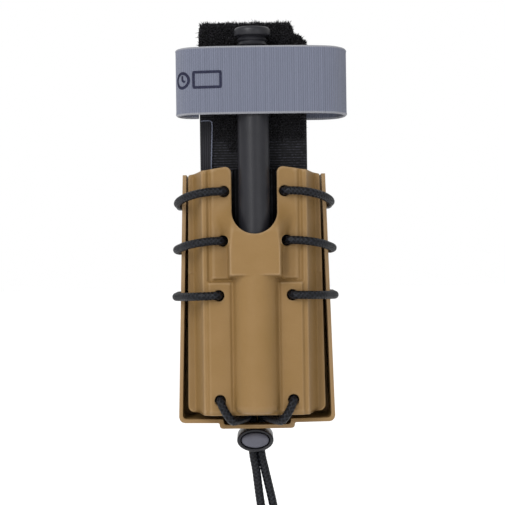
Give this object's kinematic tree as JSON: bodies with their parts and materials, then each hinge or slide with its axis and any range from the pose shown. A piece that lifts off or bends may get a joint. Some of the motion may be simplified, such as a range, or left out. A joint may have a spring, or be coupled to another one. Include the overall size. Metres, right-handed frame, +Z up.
{
  "type": "windlass tourniquet in laced belt carrier",
  "caption": "Folded black windlass tourniquet with a grey retaining strap, stowed upright in a tan two-shell belt carrier laced with elastic cord and a cord lock.",
  "frame": {"origin": "centre of the belt loop's flat rear face", "axes": "+X to the viewer's right, +Y back towards the belt, +Z up along the windlass rod; the front faces -Y"},
  "size_m": [0.0649, 0.0507, 0.2157],
  "materials": {
    "coyote_polymer": "moulded polymer with a fine matt grain",
    "black_polymer": "moulded black polymer with a soft sheen",
    "shock_cord": "black braided elastic cord",
    "black_webbing": "black woven band with a hook and loop pile",
    "grey_strap": "grey ribbed woven strap, no print",
    "dark_steel": "blackened steel",
    "spring_steel": "bright wire"
  },
  "bodies": {
    "carrier": {"belt_loop": "black_polymer", "belt_screw_1": "dark_steel", "belt_screw_2": "dark_steel", "belt_screw_3": "dark_steel", "belt_screw_4": "dark_steel", "post_nut_1": "dark_steel", "post_nut_2": "dark_steel", "post_nut_3": "dark_steel", "post_nut_4": "dark_steel", "back_shell": "coyote_polymer", "lacing_cord": "shock_cord", "cord_tail_left": "shock_cord", "cord_tail_right": "shock_cord", "tail_knot": "shock_cord"},
    "front_shell": {"front_shell": "coyote_polymer"},
    "tourniquet": {"band": "black_webbing", "base_plate": "black_polymer", "windlass_rod": "black_polymer", "inner_ribbon": "black_webbing", "windlass_clip": "black_polymer", "buckle": "black_polymer", "buckle_keeper": "black_webbing"},
    "time_strap": {"time_strap": "grey_strap"},
    "cord_lock": {"lock_barrel": "black_polymer", "lock_spring": "spring_steel"},
    "lock_button": {"lock_button": "black_polymer"}
  },
  "joints": [
    {"name": "tourniquet_draw", "type": "slide", "parent": "carrier", "child": "tourniquet", "axis": [0, 0, 1], "range_m": [0, 0.12]},
    {"name": "front_shell_spread", "type": "slide", "parent": "carrier", "child": "front_shell", "axis": [0, -1, 0], "range_m": [0, 0.004], "stiffness_N_per_m": 300, "deforming": ["lacing_cord"]},
    {"name": "strap_open", "type": "hinge", "parent": "tourniquet", "child": "time_strap", "pos_m": [0.022, -0.024, 0.0777], "axis": [0, 0, 1], "range_deg": [0, 110]},
    {"name": "cord_lock_slide", "type": "slide", "parent": "carrier", "child": "cord_lock", "axis": [0.1581, 0, -0.9874], "range_m": [0, 0.03], "deforming": ["cord_tail_left", "cord_tail_right"]},
    {"name": "lock_button_press", "type": "slide", "parent": "cord_lock", "child": "lock_button", "axis": [0, 1, 0], "range_m": [0, 0.0025], "stiffness_N_per_m": 300, "deforming": ["lock_spring"]}
  ]
}
